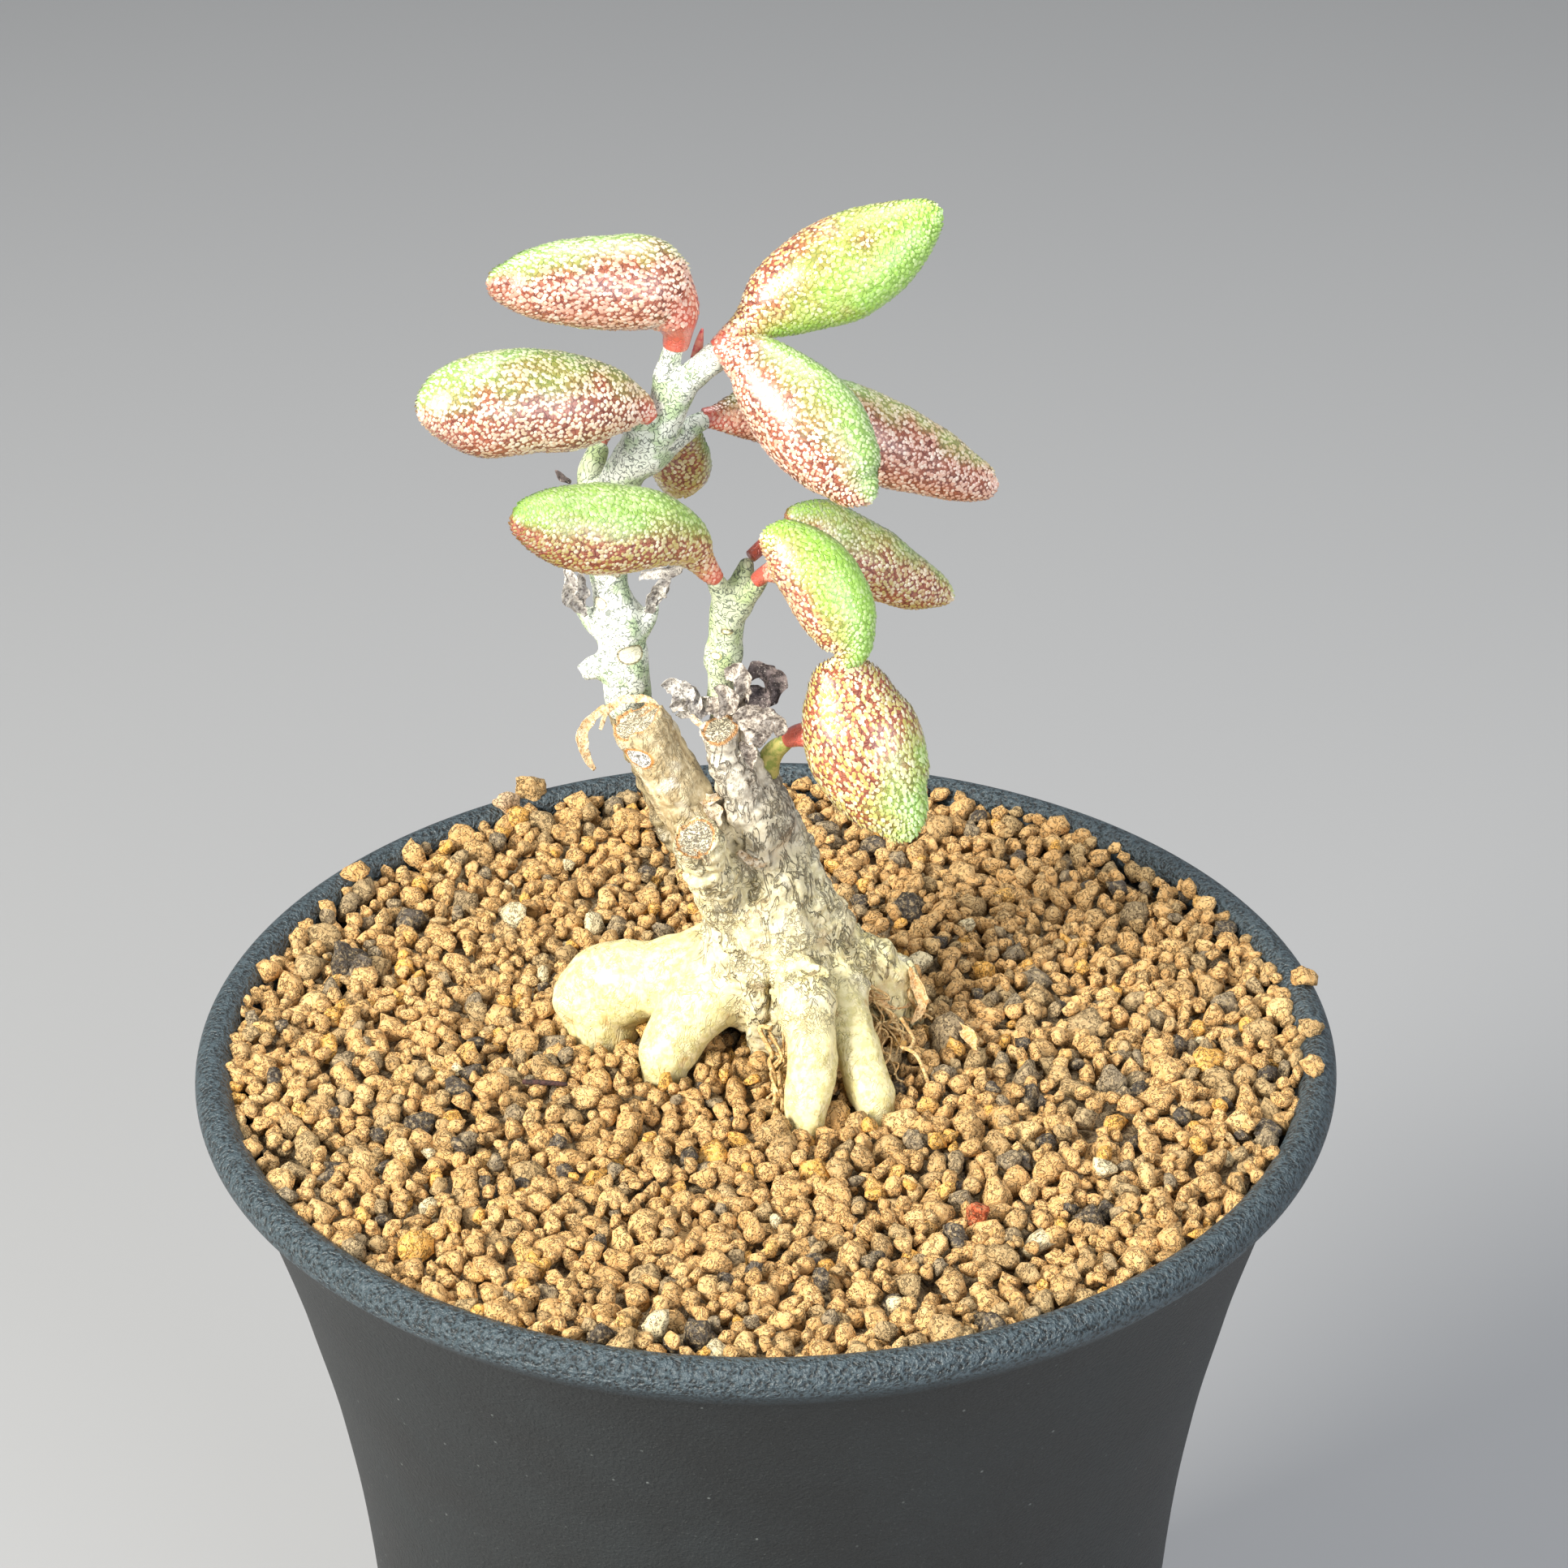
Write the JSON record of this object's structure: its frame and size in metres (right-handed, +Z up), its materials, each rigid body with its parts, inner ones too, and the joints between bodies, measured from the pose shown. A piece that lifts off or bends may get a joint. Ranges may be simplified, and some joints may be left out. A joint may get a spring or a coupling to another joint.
{
  "type": "potted tylecodon",
  "caption": "Small caudex succulent with plump leaves on cut-back stems, its swollen roots gripping granular soil in a flared round plastic pot with a rolled rim",
  "frame": {"origin": "centre of the pot's footprint, on the surface it stands on", "axes": "+Z up along the pot's axis; the pictured side faces -Y; +X is to the right in the picture"},
  "size_m": [0.09, 0.09, 0.1664],
  "materials": {
    "pot": "matte black plastic with a fine leathery grain on the rolled rim",
    "soil": "dry porous fired-clay grains, orange tan to brown, a few grey",
    "caudex": "smooth cream to khaki skin with fine cracks, peeling in places",
    "stem": "silvery grey-green skin with a dark broken net",
    "shoot": "waxy yellow green with red marks",
    "growth_tip": "smooth red bud",
    "leaf_red": "fleshy leaf, red brown over green, set with glistening beads",
    "leaf_green": "fleshy leaf, green with a brown flush, set with glistening beads",
    "dried": "dry wrinkled grey-brown leaf remains",
    "bark": "papery orange-tan peeling bark"
  },
  "bodies": {
    "root": {"pot": "pot", "soil": "soil", "caudex": "caudex", "stem_tall": "stem", "stem_low": "stem", "side_shoot": "shoot", "growth_tip": "growth_tip", "leaf_top_left": "leaf_red", "leaf_top_right": "leaf_green", "leaf_front": "leaf_red", "leaf_back_right": "leaf_red", "leaf_left": "leaf_red", "leaf_behind_stem": "leaf_red", "leaf_hidden": "leaf_red", "leaf_low_left": "leaf_green", "leaf_low_right": "leaf_green", "leaf_low_back": "leaf_red", "leaf_side": "leaf_red", "dried_leaf_left": "dried", "dried_leaf_right": "dried", "dried_leaf_curl": "dried", "dried_leaf_fold": "dried", "dried_leaf_dark": "dried", "dried_leaf_cup": "dried", "bark_strip": "bark"}
  },
  "joints": []
}
